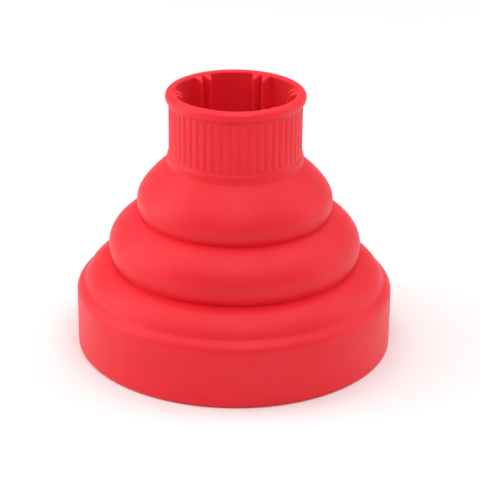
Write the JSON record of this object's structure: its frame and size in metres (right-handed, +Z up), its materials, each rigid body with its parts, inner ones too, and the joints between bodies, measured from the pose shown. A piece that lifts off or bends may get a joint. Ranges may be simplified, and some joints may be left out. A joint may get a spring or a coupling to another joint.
{
  "type": "dryer diffuser",
  "caption": "Collapsible silicone hair dryer diffuser: ribbed push-on neck, stepped bellows that fold flat, and a wide rim around a perforated fingered plate.",
  "frame": {"origin": "centre of the wide rim's lower edge, on the surface that the diffuser stands on", "axes": "+Z up the air path from the rim to the neck; +X and +Y are square to it, with the first pair of grip ribs 4.5 degrees from +X"},
  "size_m": [0.138, 0.138, 0.115],
  "materials": {
    "bell_silicone": "matte",
    "plate_silicone": "matte"
  },
  "bodies": {
    "base": {"lower_fold_web": "bell_silicone", "shoulder_ring": "bell_silicone", "base_rim": "bell_silicone", "plate_seat_ring": "bell_silicone", "plate_retaining_bead": "bell_silicone", "diffuser_plate": "plate_silicone", "inner_fingers": "plate_silicone", "middle_fingers": "plate_silicone", "outer_fingers": "plate_silicone"},
    "middle_tier": {"middle_fold_web": "bell_silicone", "middle_tier_ring": "bell_silicone"},
    "upper_tier": {"upper_fold_web": "bell_silicone", "upper_tier_ring": "bell_silicone"},
    "neck": {"neck_lip": "bell_silicone", "neck_sleeve": "bell_silicone", "neck_root_bead": "bell_silicone", "grip_rib_1": "bell_silicone", "grip_rib_2": "bell_silicone", "grip_rib_3": "bell_silicone", "grip_rib_4": "bell_silicone", "grip_rib_5": "bell_silicone", "grip_rib_6": "bell_silicone", "grip_rib_7": "bell_silicone", "grip_rib_8": "bell_silicone", "grip_rib_9": "bell_silicone", "grip_rib_10": "bell_silicone", "grip_rib_11": "bell_silicone", "grip_rib_12": "bell_silicone"}
  },
  "joints": [
    {"name": "middle_tier_fold", "type": "slide", "parent": "base", "child": "middle_tier", "axis": [0, 0, -1], "range_m": [0, 0.015], "deforming": ["lower_fold_web"]},
    {"name": "upper_tier_fold", "type": "slide", "parent": "middle_tier", "child": "upper_tier", "axis": [0, 0, -1], "range_m": [0, 0.016], "deforming": ["middle_fold_web"]},
    {"name": "neck_fold", "type": "slide", "parent": "upper_tier", "child": "neck", "axis": [0, 0, -1], "range_m": [0, 0.02], "deforming": ["upper_fold_web"]}
  ]
}
